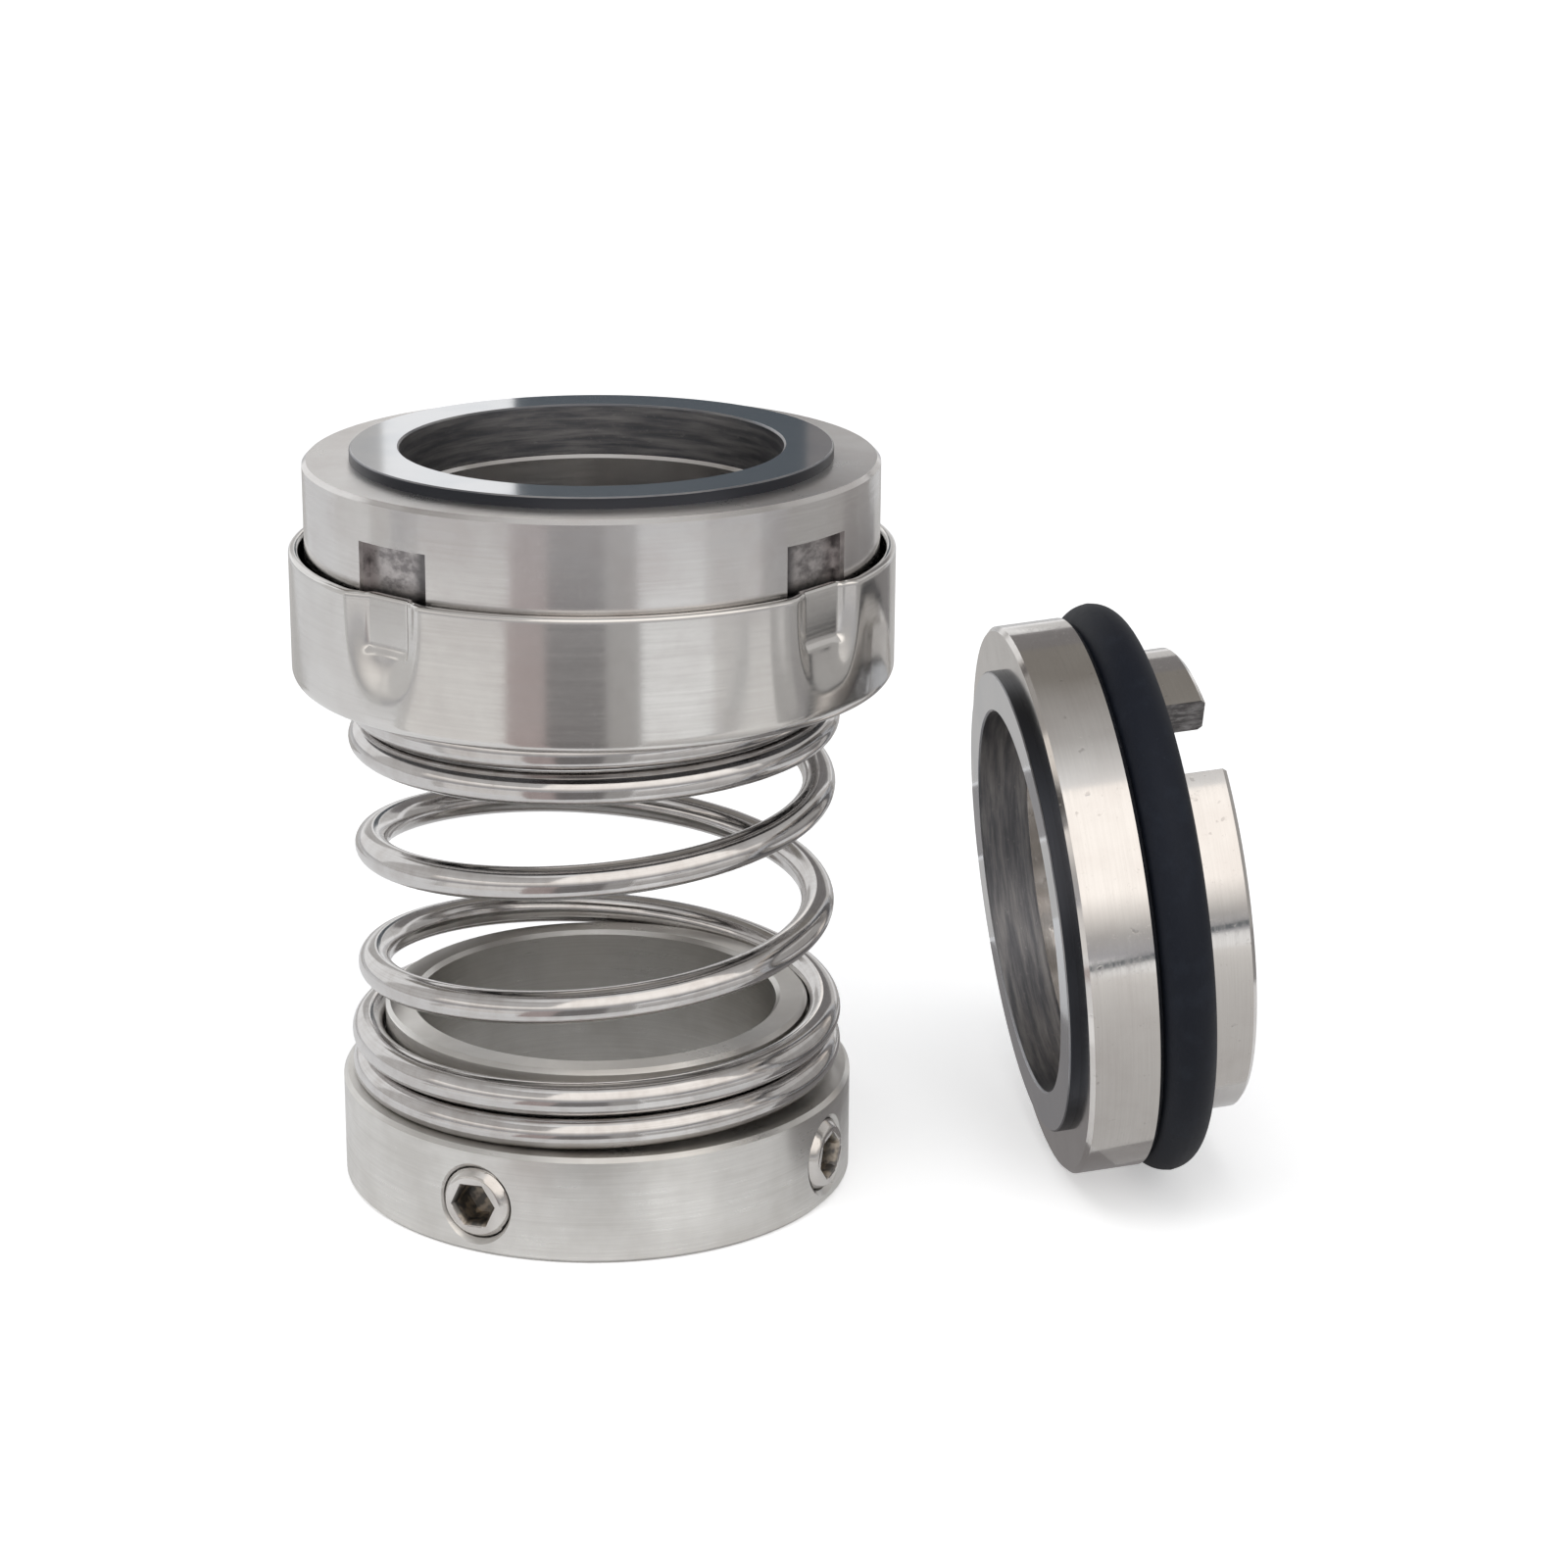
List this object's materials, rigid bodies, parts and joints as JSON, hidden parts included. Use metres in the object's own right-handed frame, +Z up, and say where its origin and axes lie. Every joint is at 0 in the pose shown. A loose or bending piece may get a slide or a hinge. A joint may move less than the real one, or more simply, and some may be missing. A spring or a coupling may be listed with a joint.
{
  "type": "single-spring mechanical shaft seal",
  "caption": "Mechanical shaft seal: a spring-loaded rotary head on its drive collar, and the stationary seat with its O-ring standing beside it.",
  "frame": {"origin": "centre of the drive collar's bore at the base that the head stands on", "axes": "+Z up along the shaft axis towards the rotary face, +X from the head towards the stationary seat"},
  "size_m": [0.0775, 0.0501, 0.0618],
  "materials": {
    "collar_steel": "stainless steel, satin turned",
    "screw_steel": "stainless steel, bright",
    "spring_wire": "stainless spring wire, polished",
    "shell_steel": "stainless sheet, pressed and polished",
    "carrier_steel": "stainless steel, fine turned",
    "seat_steel": "stainless steel, fine turned",
    "carbide": "dark sintered carbide, sealing face lapped to a mirror",
    "o_ring_rubber": "matt black rubber"
  },
  "bodies": {
    "stationary_seat": {"seat_ring": "seat_steel", "seat_face_ring": "carbide", "seat_o_ring": "o_ring_rubber"},
    "collar": {"drive_collar": "collar_steel", "spring": "spring_wire"},
    "screw_1": {"set_screw_1": "screw_steel"},
    "screw_2": {"set_screw_2": "screw_steel"},
    "shell": {"drive_shell": "shell_steel", "thrust_ring": "carrier_steel", "shaft_o_ring": "o_ring_rubber"},
    "rotary_ring": {"ring_carrier": "carrier_steel", "rotary_face_ring": "carbide"}
  },
  "joints": [
    {"name": "shaft_turn", "type": "hinge", "parent": "stationary_seat", "child": "collar", "pos_m": [0, 0, 0], "axis": [0, 0, 1], "continuous": true},
    {"name": "face_travel", "type": "slide", "parent": "collar", "child": "shell", "axis": [0, 0, -1], "range_m": [0, 0.01], "stiffness_N_per_m": 3500, "springref_m": -0.0004, "deforming": ["spring"]},
    {"name": "drive_play", "type": "hinge", "parent": "shell", "child": "rotary_ring", "pos_m": [0, 0, 0.05], "axis": [0, 0, 1], "range_deg": [-2, 2]},
    {"name": "screw_1_travel", "type": "slide", "parent": "collar", "child": "screw_1", "axis": [-0.8988, 0.4384, 0], "range_m": [-0.002, 0.0015]},
    {"name": "screw_2_travel", "type": "slide", "parent": "collar", "child": "screw_2", "axis": [0.4384, 0.8988, 0], "range_m": [-0.002, 0.0015]}
  ]
}
